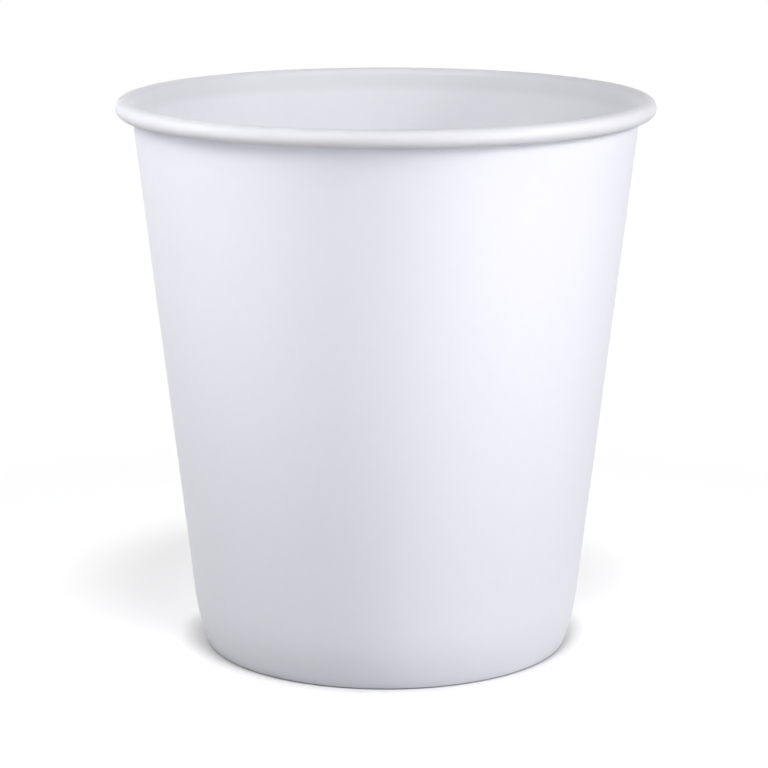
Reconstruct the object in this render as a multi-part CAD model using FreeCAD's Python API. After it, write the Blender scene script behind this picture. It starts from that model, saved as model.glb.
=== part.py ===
import FreeCAD, Part
import math
import os

from FreeCAD import Vector

# Paper sundae cup: a lapped and glued side wall of board, rolled outwards at the rim and
# folded up inside the foot, round a base of thinner board whose skirt is held in that fold.
# The cup stands on the table at z = 0, with its axis on +Z. Millimetres and degrees.

# Cup
cup_height = 93.5          # table to the top of the rolled rim
rim_diameter = 90.0        # over the rolled rim
wall_lean = 6.5            # lean of the side wall from upright
wall_board = 0.40          # thickness of the side wall

# Foot
floor_height = 9.3         # table to the cup's floor, where the side wall starts to bow in
heel_radius = 40.0         # bow of the side wall below the floor, on its outer face
foot_pressed = 0.05        # how far the folded foot is pressed flat
hem_drop = 1.4             # underside of the base to the top edge of the hem

# Base
base_board = 0.30          # thickness of the base
base_bend = 0.35           # inside radius of the bend from base to skirt
skirt_drop = 0.30          # bottom edge of the skirt to the middle of the fold
glue_line = 0.02           # glue between the skirt and the board on each side of it

# Rolled rim
roll_overrun = 40.0        # how far the roll goes past one whole turn
roll_tight = 120.0         # how far before a whole turn the roll tightens
roll_gap = 0.12            # side wall to the roll's second turn, where the seam doubles the board
roll_core = 0.12           # radius left open in the roll, where the seam doubles the board

# Side seam
seam_angle = 162.0         # place of the inner cut edge, round from +X towards +Y
seam_width = 6.5           # width of the lap
seam_ramp = 3.0            # angle over which the board climbs on to the lap
seam_press = 0.02          # how far the two layers of the lap are pressed together

axis = Vector(0, 0, 0)
up = Vector(0, 0, 1)


def sine(angle):
    return math.sin(math.radians(angle))


def cosine(angle):
    return math.cos(math.radians(angle))


def at(centre, reach, angle):
    """The point of the cup's section that lies this far from a centre, in this direction."""
    return centre + Vector(reach * cosine(angle), 0, reach * sine(angle))


def straight(start, end):
    return Part.LineSegment(start, end).toShape()


# A sheet's bends are listed along its middle line, each as its centre, radius, first angle, last
# angle and sense. The sense is 1 where the face that is outside on the cup is the bend's outer
# face, and -1 where it is the bend's inner face.

def face_line(bends, shift):
    """The line that runs beside a sheet's middle line, shifted towards its outside face."""
    edges = []
    for centre, radius, first, last, sense in bends:
        reach = radius + sense * shift
        start = at(centre, reach, first)
        if edges and not edges[-1].Vertexes[-1].Point.isEqual(start, 1e-6):
            edges.append(straight(edges[-1].Vertexes[-1].Point, start))
        middle = at(centre, reach, (first + last) / 2)
        edges.append(Part.Arc(start, middle, at(centre, reach, last)).toShape())
    return edges


def sheet_section(inside, outside):
    """The section of a sheet between the lines of its two faces."""
    first_cut = straight(outside[0].Vertexes[0].Point, inside[0].Vertexes[0].Point)
    last_cut = straight(inside[-1].Vertexes[-1].Point, outside[-1].Vertexes[-1].Point)
    return Part.Face(Part.Wire([first_cut] + inside + [last_cut] + outside[::-1]))


# Rolled rim: the first turn sets the bead's size, and the second is tighter and lies inside it

lap_shift = wall_board - seam_press
second_turn_radius = roll_core + lap_shift + wall_board / 2
roll_step = (roll_gap + wall_board + lap_shift) / (1 - cosine(roll_tight))
first_turn_radius = second_turn_radius + roll_step
bead_radius = first_turn_radius + wall_board / 2
bead_centre = Vector(rim_diameter / 2 - bead_radius, 0, cup_height - bead_radius)
roll_start = 180 - wall_lean
roll_tightens = roll_start - (360 - roll_tight)
roll_end = roll_start - (360 + roll_overrun)
second_turn_centre = at(bead_centre, roll_step, roll_tightens)

# Heel: the band below the floor bows in round one centre, which the skirt and hem share

wall_top = at(bead_centre, first_turn_radius - wall_board / 2, roll_start)
wall_drop = wall_top.z - floor_height
heel_top = Vector(wall_top.x - wall_drop * math.tan(math.radians(wall_lean)), 0, floor_height)
heel_centre = at(heel_top, heel_radius, 180 - wall_lean)

# Foot: a whole fold round the skirt's bottom edge, pressed flat where it stands

wall_line = heel_radius - wall_board / 2
fold_radius = (wall_board + base_board) / 2 + glue_line
skirt_line = wall_line - fold_radius
hem_line = skirt_line - fold_radius
fold_height = fold_radius + wall_board / 2 - foot_pressed
foot_angle = -math.degrees(math.asin((heel_centre.z - fold_height) / skirt_line))
fold_centre = at(heel_centre, skirt_line, foot_angle)
hem_top = floor_height - base_board - hem_drop
hem_angle = -math.degrees(math.asin((heel_centre.z - hem_top) / hem_line))

wall_bends = [
    (second_turn_centre, second_turn_radius, roll_end, roll_tightens, -1),
    (bead_centre, first_turn_radius, roll_tightens, roll_start, -1),
    (heel_centre, wall_line, -wall_lean, foot_angle, 1),
    (fold_centre, fold_radius, foot_angle, foot_angle - 180, 1),
    (heel_centre, hem_line, foot_angle, hem_angle, -1),
]


def wall_section(shift):
    """The side wall's section, shifted outwards as the seam's outer layer is."""
    inside = face_line(wall_bends, shift - wall_board / 2)
    outside = face_line(wall_bends, shift + wall_board / 2)
    return sheet_section(inside, outside)


def side_wall():
    """One board wrapped round the cup, climbing on to its own first edge to make the lap."""
    turn = 360 - seam_ramp
    inner_edge = wall_section(0)
    climb_start = wall_section(0)
    climb_start.rotate(axis, up, turn)
    climb_end = wall_section(lap_shift)
    wrapped = inner_edge.revolve(axis, up, turn)
    climb = Part.makeLoft([climb_start.OuterWire, climb_end.OuterWire], True, True)
    quarter = climb_end.revolve(axis, up, 90)
    lap = quarter.common(Part.makeBox(rim_diameter, seam_width, cup_height))
    board = wrapped.fuse([climb, lap])
    above_table = Part.makeBox(
        2 * rim_diameter, 2 * rim_diameter, 2 * cup_height, Vector(-rim_diameter, -rim_diameter, 0)
    )
    board = board.common(above_table).removeSplitter()
    board.rotate(axis, up, seam_angle)
    return board


def base_disc():
    """A flat disc whose edge is bent down into a skirt that follows the heel."""
    bend_radius = base_bend + base_board / 2
    bend_height = floor_height - base_board - base_bend
    bend_reach = skirt_line - bend_radius
    bend_angle = -math.degrees(math.asin((heel_centre.z - bend_height) / bend_reach))
    bend_centre = at(heel_centre, bend_reach, bend_angle)
    skirt_angle = foot_angle + math.degrees(skirt_drop / skirt_line)
    bends = [
        (bend_centre, bend_radius, 90, bend_angle, 1),
        (heel_centre, skirt_line, bend_angle, skirt_angle, 1),
    ]
    underside = face_line(bends, -base_board / 2)
    top = face_line(bends, base_board / 2)
    for face in (underside, top):
        rim_of_flat = face[0].Vertexes[0].Point
        face.insert(0, straight(Vector(0, 0, rim_of_flat.z), rim_of_flat))
    return sheet_section(underside, top).revolve(axis, up, 360)


os.makedirs("parts", exist_ok=True)
for name, shape in (("side_wall", side_wall()), ("base_disc", base_disc())):
    solid = shape.Solids[0]
    print(name, "solids", len(shape.Solids), "valid", shape.isValid(), "volume", round(shape.Volume, 1))
    solid.exportStep("parts/" + name + ".step")
print("bead radius", round(bead_radius, 3), "foot ring", round(2 * fold_centre.x, 2), "across")
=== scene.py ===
import math

import bmesh
import bpy
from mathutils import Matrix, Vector


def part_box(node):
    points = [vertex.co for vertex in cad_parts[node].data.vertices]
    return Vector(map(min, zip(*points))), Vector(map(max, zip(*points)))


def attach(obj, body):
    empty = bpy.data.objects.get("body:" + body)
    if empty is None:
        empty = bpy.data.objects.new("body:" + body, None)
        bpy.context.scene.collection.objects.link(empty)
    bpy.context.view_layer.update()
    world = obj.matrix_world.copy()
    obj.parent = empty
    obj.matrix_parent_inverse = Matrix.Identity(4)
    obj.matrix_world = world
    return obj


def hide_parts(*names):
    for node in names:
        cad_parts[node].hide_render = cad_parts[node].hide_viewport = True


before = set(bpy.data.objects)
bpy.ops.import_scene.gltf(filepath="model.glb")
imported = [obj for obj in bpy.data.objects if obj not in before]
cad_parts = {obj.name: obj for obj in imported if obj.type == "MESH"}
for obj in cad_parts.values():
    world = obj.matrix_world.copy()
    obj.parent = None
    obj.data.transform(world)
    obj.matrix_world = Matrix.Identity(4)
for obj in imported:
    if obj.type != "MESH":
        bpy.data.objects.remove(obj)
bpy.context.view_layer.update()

mm = 0.001
mergeWithin = 0.001 * mm     # points closer than this are one point
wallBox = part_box("side_wall")
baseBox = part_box("base_disc")
print("paper cup: frame loaded,", len(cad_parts), "nodes")


# Wires: a socket that takes part in sums, in shader trees and geometry trees alike
class Wire:
    def __init__(self, graph, socket):
        self.graph = graph
        self.socket = socket

    def maths(self, operation, *others):
        return self.graph.maths(operation, self, *others)

    def __add__(self, other):
        return self.maths("ADD", other)

    def __radd__(self, other):
        return self.graph.maths("ADD", other, self)

    def __sub__(self, other):
        return self.maths("SUBTRACT", other)

    def __rsub__(self, other):
        return self.graph.maths("SUBTRACT", other, self)

    def __mul__(self, other):
        return self.maths("MULTIPLY", other)

    def __rmul__(self, other):
        return self.graph.maths("MULTIPLY", other, self)

    def __truediv__(self, other):
        return self.maths("DIVIDE", other)

    def __gt__(self, other):
        return self.maths("GREATER_THAN", other)

    def __lt__(self, other):
        return self.maths("LESS_THAN", other)

    def atMost(self, other):
        return self.maths("MINIMUM", other)

    def atLeast(self, other):
        return self.maths("MAXIMUM", other)

    def wave(self):  # 0 to 1 and back, once for each turn of the angle
        return 0.5 - 0.5 * self.maths("COSINE")

    def eased(self):  # a smooth step from 0 to 1
        held = self.atLeast(0.0).atMost(1.0)
        return held * held * (3.0 - 2.0 * held)

    def part(self, axis):
        return self.graph.add("ShaderNodeSeparateXYZ", {}, {0: self}, axis)


class Graph:
    def __init__(self, tree):
        self.tree = tree
        tree.nodes.clear()

    def add(self, kind, settings=None, inputs=None, output=0):
        node = self.tree.nodes.new(kind)
        for name, value in (settings or {}).items():
            setattr(node, name, value)
        for key, value in (inputs or {}).items():
            if isinstance(value, Wire):
                self.tree.links.new(value.socket, node.inputs[key])
            else:
                node.inputs[key].default_value = value
        return Wire(self, node.outputs[output])

    def maths(self, operation, *values):
        return self.add("ShaderNodeMath", {"operation": operation}, dict(enumerate(values)))

    def vector(self, x, y, z):
        return self.add("ShaderNodeCombineXYZ", {}, {0: x, 1: y, 2: z})

    def end(self, kind, wire, socket=0):
        node = self.tree.nodes.new(kind)
        self.tree.links.new(wire.socket, node.inputs[socket])


# The board's section: its middle line as bends, from the end of the roll to the hem's edge
cupValues = {
    "rimRadius": wallBox[1].x,
    "height": wallBox[1].z,
    "floorHeight": baseBox[1].z,
    "lean": 6.5,                 # degrees from upright
    "wallBoard": 0.40 * mm,
    "baseBoard": 0.30 * mm,
    "heelRadius": 40.0 * mm,     # bow of the band below the floor, on the outer face
    "footPressed": 0.05 * mm,
    "glueLine": 0.02 * mm,
    "hemDrop": 1.4 * mm,
    "skirtDrop": 0.30 * mm,
    "baseBend": 0.35 * mm,
    "rollOverrun": 40.0,         # degrees past a whole turn
    "rollTight": 120.0,          # degrees before a whole turn
    "rollGap": 0.12 * mm,
    "rollCore": 0.12 * mm,
    "lapRise": 0.38 * mm,        # one board's thickness less the pressing of the glued lap
}


def polar(centre, reach, angle):
    turn = math.radians(angle)
    return centre + Vector((math.cos(turn), 0, math.sin(turn))) * reach


def cupBends(values):
    board = values["wallBoard"]
    lean = values["lean"]
    innerRadius = values["rollCore"] + values["lapRise"] + board / 2
    rollRoom = values["rollGap"] + board + values["lapRise"]
    rollStep = rollRoom / (1 - math.cos(math.radians(values["rollTight"])))
    outerRadius = innerRadius + rollStep
    beadRadius = outerRadius + board / 2
    beadCentre = Vector((values["rimRadius"] - beadRadius, 0, values["height"] - beadRadius))
    rollStart = 180 - lean
    rollTightens = rollStart - (360 - values["rollTight"])
    rollEnd = rollStart - (360 + values["rollOverrun"])
    innerCentre = polar(beadCentre, rollStep, rollTightens)
    wallTop = polar(beadCentre, outerRadius - board / 2, rollStart)
    drop = wallTop.z - values["floorHeight"]
    heelTop = wallTop - Vector((drop * math.tan(math.radians(lean)), 0, drop))
    heelCentre = polar(heelTop, values["heelRadius"], 180 - lean)
    wallLine = values["heelRadius"] - board / 2
    foldRadius = (board + values["baseBoard"]) / 2 + values["glueLine"]
    skirtLine = wallLine - foldRadius
    hemLine = skirtLine - foldRadius
    foldHeight = foldRadius + board / 2 - values["footPressed"]
    footAngle = -math.degrees(math.asin((heelCentre.z - foldHeight) / skirtLine))
    foldCentre = polar(heelCentre, skirtLine, footAngle)
    hemTop = values["floorHeight"] - values["baseBoard"] - values["hemDrop"]
    hemAngle = -math.degrees(math.asin((heelCentre.z - hemTop) / hemLine))
    # each bend: band, centre, radius, first angle, last angle, sense and steps; the sense is 1
    # where the board's outside face is the bend's outer face, and -1 where it is the inner one
    wall = [
        ("roll", innerCentre, innerRadius, rollEnd, rollTightens, -1, 9),
        ("bead", beadCentre, outerRadius, rollTightens, rollStart, -1, 20),
        ("heel", heelCentre, wallLine, -lean, footAngle, 1, 6),
        ("fold", foldCentre, foldRadius, footAngle, footAngle - 180, 1, 8),
        ("hem", heelCentre, hemLine, footAngle, hemAngle, -1, 6),
    ]
    bendRadius = values["baseBend"] + values["baseBoard"] / 2
    bendReach = skirtLine - bendRadius
    bendHeight = values["floorHeight"] - values["baseBoard"] - values["baseBend"]
    bendAngle = -math.degrees(math.asin((heelCentre.z - bendHeight) / bendReach))
    skirtEnd = footAngle + math.degrees(values["skirtDrop"] / skirtLine)
    base = [
        ("bend", polar(heelCentre, bendReach, bendAngle), bendRadius, 90, bendAngle, 1, 6),
        ("skirt", heelCentre, skirtLine, bendAngle, skirtEnd, 1, 6),
    ]
    return wall, base


# A middle line as rows of place, direction across the board to its outside face, and band name
def middleLine(bends, start=None, straightSteps=14):
    rows = []
    if start is not None:
        first = polar(bends[0][1], bends[0][2], bends[0][3])
        for k in range(straightSteps):
            rows.append((start.lerp(first, k / straightSteps), Vector((0, 0, 1)), "flat"))
    for band, centre, radius, first, last, sense, steps in bends:
        for k in range(steps + 1):
            angle = first + (last - first) * k / steps
            place = polar(centre, radius, angle)
            across = polar(Vector(), sense, angle)
            if rows and (place - rows[-1][0]).length < mergeWithin:
                continue
            if k == 0 and rows and rows[-1][2] == "bead":
                upper = rows[-1][0]
                for m in range(1, straightSteps):
                    rows.append((upper.lerp(place, m / straightSteps), across, "wall"))
            rows.append((place, across, band))
    return rows


def lineMesh(name, rows, shares):
    mesh = bpy.data.meshes.new(name)
    mesh.from_pydata([r[0] for r in rows], [(k, k + 1) for k in range(len(rows) - 1)], [])
    across = mesh.attributes.new("across", "FLOAT_VECTOR", "POINT")
    across.data.foreach_set("vector", [v for r in rows for v in r[1]])
    for share, values in shares.items():
        made = mesh.attributes.new(share, "FLOAT", "POINT")
        made.data.foreach_set("value", values)
    return mesh


# Waviness of the boards: slow dents, longer up the cup than round it
waveValues = {
    "scale": 50.0,           # dents to the metre
    "upright": 0.4,          # the same up the cup, as a share of that round it
    "detail": 1.0,
    "roughness": 0.4,
}


# Geometry tree: wraps a board's middle line round the cup, up on to its own first edge
def wrapTree(waves):
    tree = bpy.data.node_groups.new("wrapBoard", "GeometryNodeTree")
    tree.is_modifier = True
    face = tree.interface
    face.new_socket("Geometry", in_out="INPUT", socket_type="NodeSocketGeometry")
    sizes = {
        "Line Points": ("NodeSocketInt", 2),
        "Steps Around": ("NodeSocketInt", 90),
        "Lap Steps": ("NodeSocketInt", 1),
        "Board": ("NodeSocketFloat", 0.4 * mm),
        "Lap Width": ("NodeSocketFloat", 0.0),
        "Lap Rise": ("NodeSocketFloat", 0.0),
        "Climb Angle": ("NodeSocketFloat", 0.1),
        "Start Angle": ("NodeSocketFloat", 0.0),
        "Ribs": ("NodeSocketFloat", 100.0),
        "Rib Depth": ("NodeSocketFloat", 0.0),
        "Waviness": ("NodeSocketFloat", 0.0),
        "Seed": ("NodeSocketFloat", 1.0),
    }
    for name, (kind, value) in sizes.items():
        face.new_socket(name, in_out="INPUT", socket_type=kind).default_value = value
    for name in ("Outside", "Inside", "Cut Edge"):
        face.new_socket(name, in_out="INPUT", socket_type="NodeSocketMaterial")
    face.new_socket("Geometry", in_out="OUTPUT", socket_type="NodeSocketGeometry")

    graph = Graph(tree)
    entry = tree.nodes.new("NodeGroupInput")
    given = {s.name: Wire(graph, s) for s in entry.outputs if s.name}
    points = given["Line Points"]
    around = given["Steps Around"]
    lapSteps = given["Lap Steps"]

    # a sheet of columns along the section, both faces and back to the start, by rows round the cup
    columns = points * 2 + 1
    rows = around + lapSteps + 3
    grid = graph.add("GeometryNodeMeshGrid", {}, {0: 1.0, 1: 1.0, 2: columns, 3: rows})
    where = graph.add("GeometryNodeInputPosition")
    column = ((where.part(0) + 0.5) * (columns - 1)).maths("ROUND")
    row = ((where.part(1) + 0.5) * (rows - 1)).maths("ROUND")
    grid = graph.add(
        "GeometryNodeStoreNamedAttribute", {"data_type": "FLOAT", "domain": "POINT"},
        {"Geometry": grid, "Name": "column", "Value": column})
    grid = graph.add(
        "GeometryNodeStoreNamedAttribute", {"data_type": "FLOAT", "domain": "POINT"},
        {"Geometry": grid, "Name": "row", "Value": row})

    def stored(name):
        return graph.add("GeometryNodeInputNamedAttribute", {"data_type": "FLOAT"}, {"Name": name})

    column = stored("column")
    row = stored("row")
    onOutside = (column > points - 0.5) * (column < points * 2 - 0.5)
    along = column + onOutside * (points * 2 - 1 - column * 2)
    along = along * (column < points * 2 - 0.5)

    def sampled(name, kind):
        value = where
        if name != "position":
            value = graph.add("GeometryNodeInputNamedAttribute", {"data_type": kind}, {"Name": name})
        return graph.add(
            "GeometryNodeSampleIndex", {"data_type": kind, "domain": "POINT"},
            {"Geometry": given["Geometry"], "Value": value, "Index": along})

    middle = sampled("position", "FLOAT_VECTOR")
    across = sampled("across", "FLOAT_VECTOR")
    climbShare = sampled("climbShare", "FLOAT")
    ribShare = sampled("ribShare", "FLOAT")
    waveShare = sampled("waveShare", "FLOAT")

    # the first and last rows lie on the middle line, which closes the board's two ends
    turnRow = (row - 1).atLeast(0).atMost(around + lapSteps)
    lastRow = rows - 1.5
    onFace = (row > 0.5) * (row < lastRow)
    turned = turnRow.atMost(around) / around * math.tau
    lapShare = (turnRow - around).atLeast(0) / lapSteps
    radius = middle.part(0)
    lapTurn = (given["Lap Width"] * lapShare / radius.atLeast(mm)).maths("ARCSINE")
    climb = ((turned - (math.tau - given["Climb Angle"])) / given["Climb Angle"]).eased()
    angle = turned + lapTurn + given["Start Angle"]
    ribs = (angle * given["Ribs"]).wave() * ribShare * given["Rib Depth"]

    east = angle.maths("COSINE")
    north = angle.maths("SINE")
    noise = graph.add(
        "ShaderNodeTexNoise", {"noise_dimensions": "4D"},
        {"Vector": graph.vector(radius * east, radius * north, middle.part(2) * waves["upright"]),
         "W": given["Seed"], "Scale": waves["scale"], "Detail": waves["detail"],
         "Roughness": waves["roughness"]})
    waviness = (noise - 1) * waveShare * given["Waviness"]
    side = onOutside * 2 - 1
    shift = side * onFace * given["Board"] / 2 + climb * climbShare * given["Lap Rise"]
    shift = shift + waviness - ribs * onOutside
    reach = radius + across.part(0) * shift
    height = (middle.part(2) + across.part(2) * shift).atLeast(0)
    place = graph.vector(reach * east, reach * north, height)
    grid = graph.add("GeometryNodeSetPosition", {}, {"Geometry": grid, "Position": place})

    # a board with no lap is a closed ring and needs no ends
    noLap = given["Lap Width"] < mergeWithin
    endRows = ((row < 1) + (row > rows - 2)) * noLap
    grid = graph.add("GeometryNodeDeleteGeometry", {"domain": "FACE"}, {0: grid, 1: endRows > 0.5})
    grid = graph.add("GeometryNodeRealizeInstances", {}, {"Geometry": grid})
    hemCut = (column > points - 1) * (column < points)
    rollCut = column > points * 2 - 1
    boardEnd = (row < 1) + (row > rows - 2)
    choices = (
        ("Inside", None),
        ("Outside", (column > points) * (column < points * 2 - 1)),
        ("Cut Edge", (hemCut + rollCut + boardEnd) > 0.5),
    )
    for name, selection in choices:
        inputs = {"Geometry": grid, "Material": given[name]}
        if selection is not None:
            inputs["Selection"] = selection
        grid = graph.add("GeometryNodeSetMaterial", {}, inputs)
    graph.end("NodeGroupOutput", grid)
    return tree


sharpAngle = 40.0            # degrees between faces that meet in a sharp edge


def wrapBoard(name, line, tree, inputs, node):
    shape = bpy.data.objects.new(name, line)
    bpy.context.scene.collection.objects.link(shape)
    modifier = shape.modifiers.new("wrap", "NODES")
    modifier.node_group = tree
    sockets = {s.name: s.identifier for s in tree.interface.items_tree if s.in_out == "INPUT"}
    for key, value in inputs.items():
        modifier[sockets[key]] = value
    view = bpy.context.evaluated_depsgraph_get()
    mesh = bpy.data.meshes.new_from_object(shape.evaluated_get(view))
    shape.modifiers.remove(modifier)
    shape.data = mesh
    mesh.name = name
    joined = bmesh.new()
    joined.from_mesh(mesh)
    bmesh.ops.remove_doubles(joined, verts=joined.verts, dist=mergeWithin)
    bmesh.ops.dissolve_degenerate(joined, edges=joined.edges, dist=mergeWithin / 10)
    bmesh.ops.recalc_face_normals(joined, faces=joined.faces)
    if joined.calc_volume(signed=True) < 0:
        bmesh.ops.reverse_faces(joined, faces=joined.faces)
    joined.to_mesh(mesh)
    joined.free()
    for leftover in ("column", "row"):
        mesh.attributes.remove(mesh.attributes[leftover])
    mesh.shade_smooth()
    mesh.set_sharp_from_angle(angle=math.radians(sharpAngle))
    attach(shape, "root")
    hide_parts(node)
    print("paper cup:", name, "made,", len(mesh.polygons), "faces")
    return shape


# Materials: lavender-white board, satin inside where it is coated, raw fibre at its cut edges, and
# painted shade that greys the coated side at the top of the cup
boardValues = {
    "outside": {"colour": (0.84, 0.84, 0.91), "roughness": 0.50, "fibre": 0.0025 * mm},
    # the coated side's colour is a little darker than the outside's, painted shade for the inside of
    # the cup
    "inside": {"colour": (0.815, 0.815, 0.862), "roughness": 0.46, "fibre": 0.0018 * mm,
               # painted shade: a greyer colour for the rolled rim and the top of the inside wall
               "rolled": (0.75, 0.75, 0.795)},
    "cutEdge": {"colour": (0.80, 0.80, 0.85), "roughness": 0.80, "fibre": 0.02 * mm},
    "gloss": 0.25,               # half the reflection of plain plastic
    "mottleSize": 1.6 * mm,
    "fibreSize": 0.22 * mm,
    "mottleShare": 0.6,          # share of the mottle in the colour's change, the rest is fibre
    "darkest": 0.972,            # times the colour, where the mottle is darkest
    "lightest": 1.012,
    "mottleRise": 0.5,           # height of the mottle, next to the fibre's
    "roughnessSpread": 0.10,
    "rolledBand": 4.5 * mm,      # top of the cup to where the painted rim shade starts
    "rolledOver": 2.0 * mm,      # height over which the painted rim shade comes in
}


def boardMaterial(name, values, sizes):
    material = bpy.data.materials.new(name)
    material.use_nodes = True
    graph = Graph(material.node_tree)
    place = graph.add("ShaderNodeTexCoord", {}, {}, 3)
    mottle = graph.add(
        "ShaderNodeTexNoise", {}, {"Vector": place, "Scale": 1 / sizes["mottleSize"], "Detail": 3.0})
    fibre = graph.add(
        "ShaderNodeTexNoise", {}, {"Vector": place, "Scale": 1 / sizes["fibreSize"], "Detail": 2.0,
                                   "Roughness": 0.6})
    shade = [v * sizes["darkest"] for v in values["colour"]]
    light = [v * sizes["lightest"] for v in values["colour"]]
    change = mottle * sizes["mottleShare"] + fibre * (1 - sizes["mottleShare"])
    colour = graph.add(
        "ShaderNodeMix", {"data_type": "RGBA"}, {0: change, 6: (*shade, 1.0), 7: (*light, 1.0)}, 2)
    # painted shade: the coated side darkens towards the top of the cup, on the rolled rim and the top
    # of the inside wall
    if "rolled" in values:
        rolledFrom = cupValues["height"] - sizes["rolledBand"]
        rolled = ((place.part(2) - rolledFrom) / sizes["rolledOver"]).eased()
        colour = graph.add(
            "ShaderNodeMix", {"data_type": "RGBA"},
            {0: rolled, 6: colour, 7: (*values["rolled"], 1.0)}, 2)
    relief = fibre + mottle * sizes["mottleRise"]
    bump = graph.add(
        "ShaderNodeBump", {}, {"Height": relief, "Distance": values["fibre"], "Strength": 1.0})
    roughness = values["roughness"] + (mottle - 0.5) * sizes["roughnessSpread"]
    surface = graph.add(
        "ShaderNodeBsdfPrincipled", {},
        {"Base Color": colour, "Roughness": roughness, "Normal": bump, "IOR": 1.5,
         "Specular IOR Level": sizes["gloss"]})
    graph.end("ShaderNodeOutputMaterial", surface)
    return material


boards = {}
for name in ("outside", "inside", "cutEdge"):
    boards[name] = boardMaterial(name, boardValues[name], boardValues)
print("paper cup:", len(boards), "board materials made")

# Side wall: wrapped, rolled and hemmed board with its glued lap
wallValues = {
    "stepsAround": 720,
    "lapSteps": 12,
    "lapWidth": 6.5 * mm,
    "climbAngle": 3.0,        # degrees
    "seamAngle": 162.0,       # degrees round from +X
    "rimClimb": 0.3,          # share of the lap's rise that shows on the bead
    "rimFade": 4.0 * mm,      # length of wall over which the lap flattens under the bead
    "hemRibs": 120.0,         # pressed ribs on the hem's hidden face
    "hemRibDepth": 0.09 * mm,
    "ribsFrom": 0.1,          # shares of the hem's height
    "ribsTo": 0.9,
    "waviness": 0.05 * mm,
    "seed": 3.0,
}
wallBends, baseBends = cupBends(cupValues)
wrap = wrapTree(waveValues)


def makeSideWall(values):
    rows = middleLine(wallBends)
    beadFoot = [r[0].z for r in rows if r[2] == "bead"][-1]
    climb = []
    ribs = []
    waves = []
    hemLow = min(r[0].z for r in rows if r[2] == "hem")
    hemHigh = max(r[0].z for r in rows if r[2] == "hem")
    for place, across, band in rows:
        down = min(1.0, max(0.0, (beadFoot - place.z) / values["rimFade"]))
        if band in ("roll", "bead"):
            down = 0.0
        climb.append(values["rimClimb"] + (1 - values["rimClimb"]) * down)
        up = (place.z - hemLow) / (hemHigh - hemLow)
        ribbed = band == "hem" and values["ribsFrom"] < up < values["ribsTo"]
        ribs.append(1.0 if ribbed else 0.0)
        waves.append(1.0 if band == "wall" else 0.0)
    line = lineMesh("sideWallLine", rows, {"climbShare": climb, "ribShare": ribs, "waveShare": waves})
    inputs = {
        "Line Points": len(rows),
        "Steps Around": values["stepsAround"],
        "Lap Steps": values["lapSteps"],
        "Board": cupValues["wallBoard"],
        "Lap Width": values["lapWidth"],
        "Lap Rise": cupValues["lapRise"],
        "Climb Angle": math.radians(values["climbAngle"]),
        "Start Angle": math.radians(values["seamAngle"]),
        "Ribs": values["hemRibs"],
        "Rib Depth": values["hemRibDepth"],
        "Waviness": values["waviness"],
        "Seed": values["seed"],
        "Outside": boards["outside"],
        "Inside": boards["inside"],
        "Cut Edge": boards["cutEdge"],
    }
    return wrapBoard("sideWall", line, wrap, inputs, "side_wall")


# Base: thinner board, its edge drawn down into the skirt with fine pleats
baseValues = {
    "stepsAround": 540,
    "pleats": 90.0,
    "pleatDepth": 0.05 * mm,
    "bendPleats": 0.5,        # share of the pleats' depth that reaches the bend
    "waviness": 0.06 * mm,
    "calmMiddle": 2.0 * mm,   # radius of the middle that stays flat
    "seed": 8.0,
}


def makeBase(values):
    centre = Vector((0, 0, cupValues["floorHeight"] - cupValues["baseBoard"] / 2))
    rows = middleLine(baseBends, start=centre)
    depths = {"flat": 0.0, "bend": values["bendPleats"], "skirt": 1.0}
    pleats = [depths[r[2]] for r in rows]
    waves = [1.0 if r[2] == "flat" and r[0].x > values["calmMiddle"] else 0.0 for r in rows]
    shares = {"climbShare": [0.0] * len(rows), "ribShare": pleats, "waveShare": waves}
    line = lineMesh("baseLine", rows, shares)
    inputs = {
        "Line Points": len(rows),
        "Steps Around": values["stepsAround"],
        "Lap Steps": 1,
        "Board": cupValues["baseBoard"],
        "Lap Width": 0.0,
        "Lap Rise": 0.0,
        "Ribs": values["pleats"],
        "Rib Depth": values["pleatDepth"],
        "Waviness": values["waviness"],
        "Seed": values["seed"],
        "Outside": boards["inside"],
        "Inside": boards["outside"],
        "Cut Edge": boards["cutEdge"],
    }
    return wrapBoard("baseDisc", line, wrap, inputs, "base_disc")


sideWall = makeSideWall(wallValues)
baseDisc = makeBase(baseValues)

# Floor and backdrop: white to the eye, with one soft shadow from a lamp that lights the floor alone,
# and a painted contact shadow round the foot
stageValues = {
    "size": 6.0,
    "bounceNear": (0.46, 0.46, 0.46),    # colour that the floor throws back on the cup
    "bounceFar": (0.05, 0.05, 0.05),
    "bounceReach": 50.0 * mm,            # from the cup's axis to where that light starts to fade
    "bounceOver": 50.0 * mm,
    "seen": (0.90, 0.90, 0.90),
    "lift": 0.70,                        # added to the floor as the camera sees it
    "footShadeWidth": 5.0 * mm,                # width of the painted contact shadow round the foot
    "plainFrom": 100.0 * mm,             # from the cup's axis to where the floor fades to white
    "plainOver": 60.0 * mm,
    "world": 0.02,                       # strength of the world's even light
}


def throughLens(graph):
    path = [graph.add("ShaderNodeLightPath", {}, {}, name) for name in
            ("Is Camera Ray", "Is Glossy Ray", "Is Transmission Ray")]
    return path[0].atLeast(path[1]).atLeast(path[2])


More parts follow.
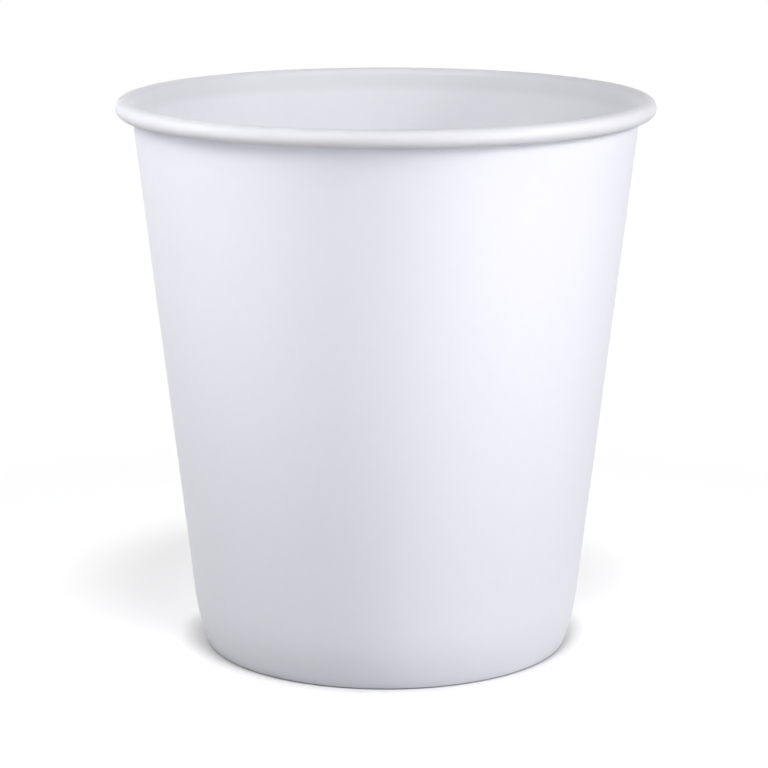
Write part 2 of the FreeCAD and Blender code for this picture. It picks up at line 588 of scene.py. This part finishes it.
def makeFloor(values):
    half = values["size"] / 2
    mesh = bpy.data.meshes.new("floor")
    corners = [(-half, -half, 0), (half, -half, 0), (half, half, 0), (-half, half, 0)]
    mesh.from_pydata(corners, [], [(0, 1, 2, 3)])
    floor = bpy.data.objects.new("floor", mesh)
    bpy.context.scene.collection.objects.link(floor)
    material = bpy.data.materials.new("floorPaper")
    material.use_nodes = True
    graph = Graph(material.node_tree)
    nearBounce = graph.add("ShaderNodeBsdfDiffuse", {}, {"Color": (*values["bounceNear"], 1.0)})
    farBounce = graph.add("ShaderNodeBsdfDiffuse", {}, {"Color": (*values["bounceFar"], 1.0)})
    place = graph.add("ShaderNodeTexCoord", {}, {}, 3)
    reach = graph.add("ShaderNodeVectorMath", {"operation": "LENGTH"}, {0: place}, 1)
    farther = ((reach - values["bounceReach"]) / values["bounceOver"]).eased()
    bounce = graph.add("ShaderNodeMixShader", {}, {0: farther, 1: nearBounce, 2: farBounce})
    seen = graph.add("ShaderNodeBsdfDiffuse", {}, {"Color": (*values["seen"], 1.0)})
    # painted contact shadow: ambient occlusion darkens the floor's added brightness round the foot
    footShadeAO = graph.add(
        "ShaderNodeAmbientOcclusion", {"samples": 8, "only_local": False},
        {"Color": (1, 1, 1, 1), "Distance": values["footShadeWidth"]}, 0)
    lift = graph.add("ShaderNodeEmission", {}, {"Color": footShadeAO, "Strength": values["lift"]})
    both = graph.add("ShaderNodeAddShader", {}, {0: seen, 1: lift})
    plain = graph.add("ShaderNodeEmission", {}, {"Color": (1, 1, 1, 1), "Strength": 1.0})
    fade = ((reach - values["plainFrom"]) / values["plainOver"]).eased()
    shown = graph.add("ShaderNodeMixShader", {}, {0: fade, 1: both, 2: plain})
    paper = graph.add("ShaderNodeMixShader", {}, {0: throughLens(graph), 1: bounce, 2: shown})
    graph.end("ShaderNodeOutputMaterial", paper)
    mesh.materials.append(material)
    return floor


def makeWorld(values):
    world = bpy.data.worlds.new("studio")
    world.use_nodes = True
    graph = Graph(world.node_tree)
    light = graph.add("ShaderNodeBackground", {}, {"Color": (1, 1, 1, 1), "Strength": values["world"]})
    white = graph.add("ShaderNodeBackground", {}, {"Color": (1, 1, 1, 1), "Strength": 1.0})
    sky = graph.add("ShaderNodeMixShader", {}, {0: throughLens(graph), 1: light, 2: white})
    graph.end("ShaderNodeOutputWorld", sky)
    bpy.context.scene.world = world


floor = makeFloor(stageValues)
makeWorld(stageValues)

# Softboxes, placed by compass angle from the camera towards +X, height angle and distance; those
# behind the cup would glare along the rim, so they give it plain light without a reflection
softboxes = {
    "farRight": {"side": 70, "up": 25, "away": 1.0, "wide": 0.20, "tall": 0.30, "watts": 5.08},
    "farFront": {"side": 30, "up": 25, "away": 1.0, "wide": 0.20, "tall": 0.30, "watts": 2.27},
    "farLeft": {"side": -40, "up": 25, "away": 1.0, "wide": 0.20, "tall": 0.30, "watts": 0.83},
    "highLeft": {"side": -40, "up": 45, "away": 1.0, "wide": 0.20, "tall": 0.30, "watts": 1.52},
    "highSide": {"side": -90, "up": 45, "away": 1.0, "wide": 0.20, "tall": 0.30, "watts": 1.46},
    "backRight": {"side": 150, "up": 3, "away": 1.0, "wide": 0.26, "tall": 0.30, "watts": 2.51,
                  "glare": False},
    "back": {"side": 180, "up": 3, "away": 1.0, "wide": 0.26, "tall": 0.30, "watts": 5.65,
             "glare": False},
    "backLeft": {"side": -150, "up": 3, "away": 1.0, "wide": 0.26, "tall": 0.30, "watts": 2.51,
                 "glare": False},
    "nearLeft": {"side": -75, "up": 35, "away": 0.22, "wide": 0.06, "tall": 0.08, "watts": 0.137},
    "nearRight": {"side": 75, "up": 35, "away": 0.22, "wide": 0.06, "tall": 0.08, "watts": 0.0146},
    "closeLeft": {"side": -48, "up": 10, "away": 0.14, "wide": 0.03, "tall": 0.04, "watts": 0.0222},
    "closeFront": {"side": -36, "up": 10, "away": 0.14, "wide": 0.03, "tall": 0.04, "watts": 0.0236},
    "closeRight": {"side": 36, "up": 10, "away": 0.14, "wide": 0.03, "tall": 0.04, "watts": 0.0493},
}


def lampGroup(name, pieces):
    group = bpy.data.collections.new(name)
    for piece in pieces:
        group.objects.link(piece)
    return group


def makeSoftbox(name, values, group):
    lamp = bpy.data.lights.new(name, "AREA")
    lamp.shape = "RECTANGLE"
    lamp.size = values["wide"]
    lamp.size_y = values["tall"]
    lamp.energy = values["watts"]
    light = bpy.data.objects.new(name, lamp)
    side = math.radians(values["side"])
    up = math.radians(values["up"])
    away = Vector((math.sin(side) * math.cos(up), -math.cos(side) * math.cos(up), math.sin(up)))
    aim = Vector((0, 0, cupValues["height"] / 2))
    light.location = aim + away * values["away"]
    light.rotation_euler = (-away).to_track_quat("-Z", "Y").to_euler()
    light.visible_camera = False
    light.visible_glossy = values.get("glare", True)
    light.light_linking.receiver_collection = group
    bpy.context.scene.collection.objects.link(light)


# The softboxes light the cup alone, and one more lamp above draws its shadow on the floor
floorLamp = {"side": 10, "up": 70, "away": 1.0, "wide": 0.20, "tall": 0.20, "watts": 3.40}
cupGroup = lampGroup("litCup", [sideWall, baseDisc])
for name, values in softboxes.items():
    makeSoftbox(name, values, cupGroup)
makeSoftbox("floorLamp", floorLamp, lampGroup("litFloor", [floor]))
print("paper cup: floor made,", len(softboxes) + 1, "lamps placed")

# Camera: a long lens looking down at the cup from the front
cameraValues = {
    "distance": 482.3 * mm,
    "height": 150.8 * mm,
    "aside": -0.33 * mm,
    "pitch": 12.45,          # degrees down from level
    "lens": 135.9,
    "film": 36.0,
}


def makeCamera(values):
    lens = bpy.data.cameras.new("camera")
    lens.lens = values["lens"]
    lens.sensor_width = values["film"]
    camera = bpy.data.objects.new("camera", lens)
    camera.location = (values["aside"], -values["distance"], values["height"])
    camera.rotation_euler = (math.radians(90 - values["pitch"]), 0, 0)
    bpy.context.scene.collection.objects.link(camera)
    bpy.context.scene.camera = camera


makeCamera(cameraValues)
bpy.context.scene.view_settings.view_transform = "Standard"

print("paper cup: scene ready")
